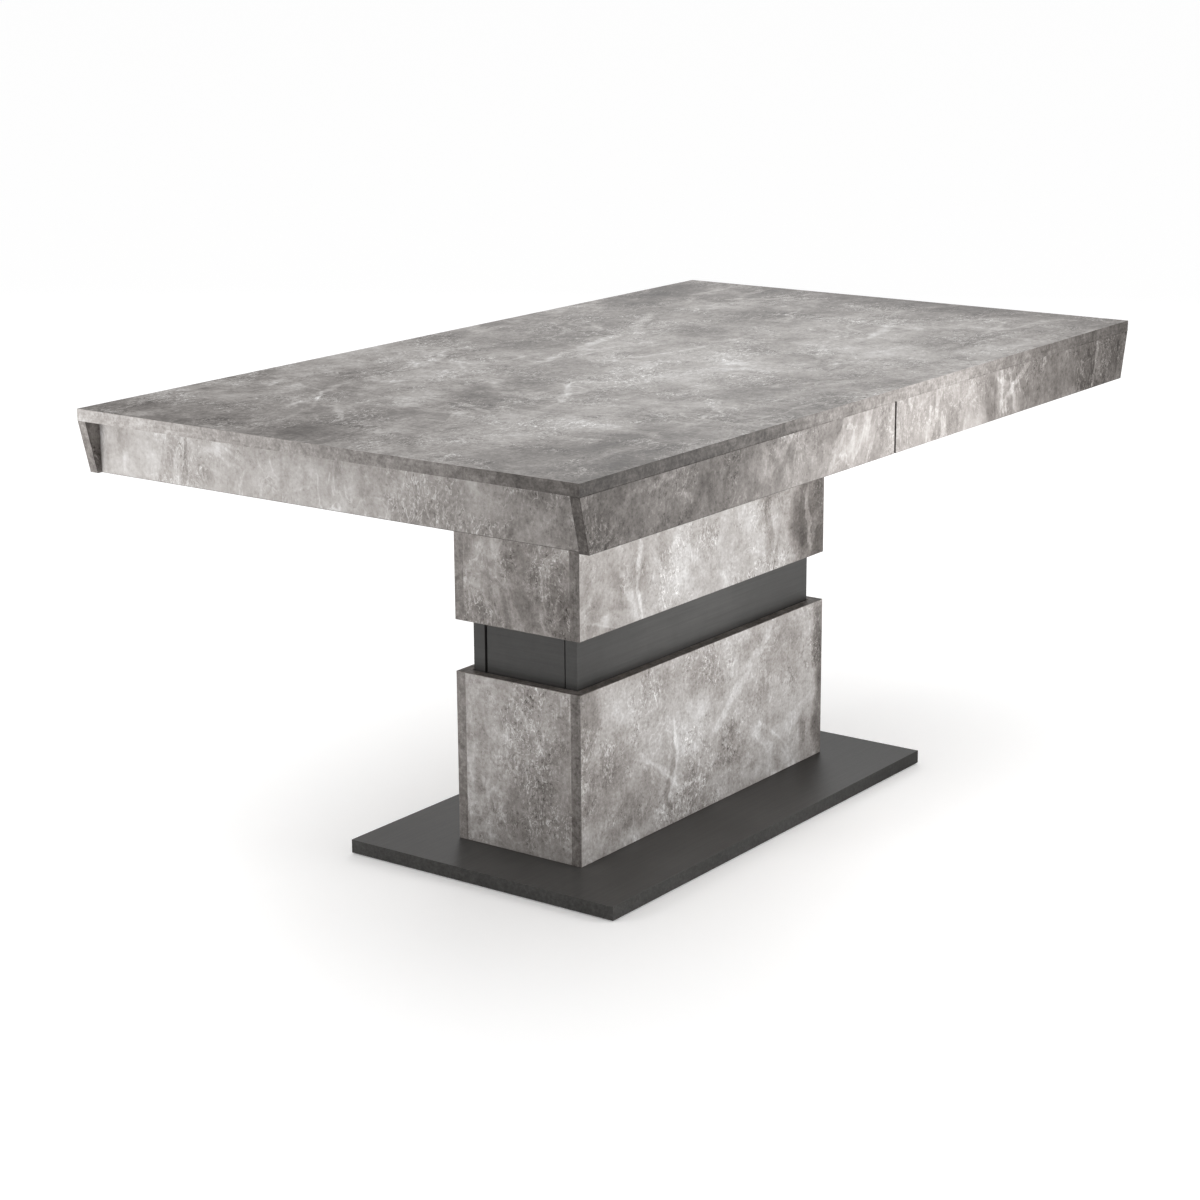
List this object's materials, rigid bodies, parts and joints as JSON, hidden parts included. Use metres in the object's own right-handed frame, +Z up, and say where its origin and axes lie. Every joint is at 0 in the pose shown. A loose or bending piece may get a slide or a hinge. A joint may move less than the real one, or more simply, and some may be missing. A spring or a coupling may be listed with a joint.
{
  "type": "extendable dining table",
  "caption": "Concrete-look pedestal dining table; the top splits in the middle and its halves pull apart together on telescopic slides to take leaves stored underneath.",
  "frame": {"origin": "on the floor under the middle of the closed top", "axes": "+X along the table's length, +Y across it, +Z up; the halves of the top part along X"},
  "size_m": [1.6, 0.91, 0.75],
  "materials": {
    "concrete_board": "matt grey concrete-look foil on board",
    "edging": "matt grey concrete-look edging",
    "anthracite_board": "matt anthracite foil on board",
    "raw_chipboard": "bare chipboard",
    "beech": "planed beech",
    "zinc_steel": "bright zinc plate",
    "black_steel": "satin black",
    "nylon": "natural nylon",
    "glide_plastic": "black plastic glide",
    "felt": "grey felt"
  },
  "bodies": {
    "pedestal": {"base_plate": "anthracite_board", "floor_glides": "glide_plastic", "lower_front_panel": "concrete_board", "lower_back_panel": "concrete_board", "lower_left_panel": "concrete_board", "lower_right_panel": "concrete_board", "lower_edging": "edging", "lower_lid": "anthracite_board", "neck_long_panels": "anthracite_board", "neck_end_panels": "anthracite_board", "upper_front_panel": "concrete_board", "upper_back_panel": "concrete_board", "upper_left_panel": "concrete_board", "upper_right_panel": "concrete_board", "upper_edging": "edging", "upper_floor": "anthracite_board", "head_board": "raw_chipboard", "tie_rods": "zinc_steel", "tie_rod_nuts": "zinc_steel", "cross_beams": "beech", "rail_beams": "beech", "beam_screws": "zinc_steel", "slide_outer_members": "zinc_steel", "leaf_rests": "felt", "leaf_front": "concrete_board", "leaf_back": "concrete_board", "leaf_edging": "edging", "leaf_dowels": "beech", "gear_mount": "black_steel", "gear_cover": "black_steel"},
    "left_top": {"top_panel_left": "concrete_board", "top_edging_left": "edging", "apron_front_left": "concrete_board", "apron_back_left": "concrete_board", "apron_end_left": "concrete_board", "apron_edging_left": "edging", "runner_battens_left": "beech", "slide_inner_left": "zinc_steel", "rack_left": "zinc_steel", "rack_hanger_left": "beech", "rack_screws_left": "zinc_steel", "alignment_dowels": "beech", "lock_pivots": "zinc_steel"},
    "right_top": {"top_panel_right": "concrete_board", "top_edging_right": "edging", "apron_front_right": "concrete_board", "apron_back_right": "concrete_board", "apron_end_right": "concrete_board", "apron_edging_right": "edging", "runner_battens_right": "beech", "slide_inner_right": "zinc_steel", "rack_right": "zinc_steel", "rack_hanger_right": "beech", "rack_screws_right": "zinc_steel", "lock_studs": "zinc_steel"},
    "middle_left": {"slide_middle_left": "zinc_steel"},
    "middle_right": {"slide_middle_right": "zinc_steel"},
    "pinion": {"pinion": "nylon"},
    "hook_front": {"lock_hook_front": "zinc_steel"},
    "hook_back": {"lock_hook_back": "zinc_steel"}
  },
  "joints": [
    {"name": "left_slide", "type": "slide", "parent": "pedestal", "child": "left_top", "axis": [-1, 0, 0], "range_m": [0, 0.4]},
    {"name": "right_slide", "type": "slide", "parent": "pedestal", "child": "right_top", "axis": [1, 0, 0], "range_m": [0, 0.4]},
    {"name": "middle_left_slide", "type": "slide", "parent": "pedestal", "child": "middle_left", "axis": [-1, 0, 0], "range_m": [0, 0.2]},
    {"name": "middle_right_slide", "type": "slide", "parent": "pedestal", "child": "middle_right", "axis": [1, 0, 0], "range_m": [0, 0.2]},
    {"name": "pinion_spin", "type": "hinge", "parent": "pedestal", "child": "pinion", "pos_m": [0, 0, 0.684], "axis": [0, 0, 1], "range_deg": [0, 1273.3]},
    {"name": "hook_front_swing", "type": "hinge", "parent": "left_top", "child": "hook_front", "pos_m": [-0.014, -0.429, 0.69], "axis": [0, 1, 0], "range_deg": [0, 110]},
    {"name": "hook_back_swing", "type": "hinge", "parent": "left_top", "child": "hook_back", "pos_m": [-0.014, 0.429, 0.69], "axis": [0, 1, 0], "range_deg": [0, 110]}
  ],
  "couplings": [
    {"joint": "right_slide", "follows": "left_slide", "ratio": 1},
    {"joint": "middle_left_slide", "follows": "left_slide", "ratio": 0.5},
    {"joint": "middle_right_slide", "follows": "left_slide", "ratio": 0.5},
    {"joint": "pinion_spin", "follows": "left_slide", "rad_per_m": 55.556}
  ]
}
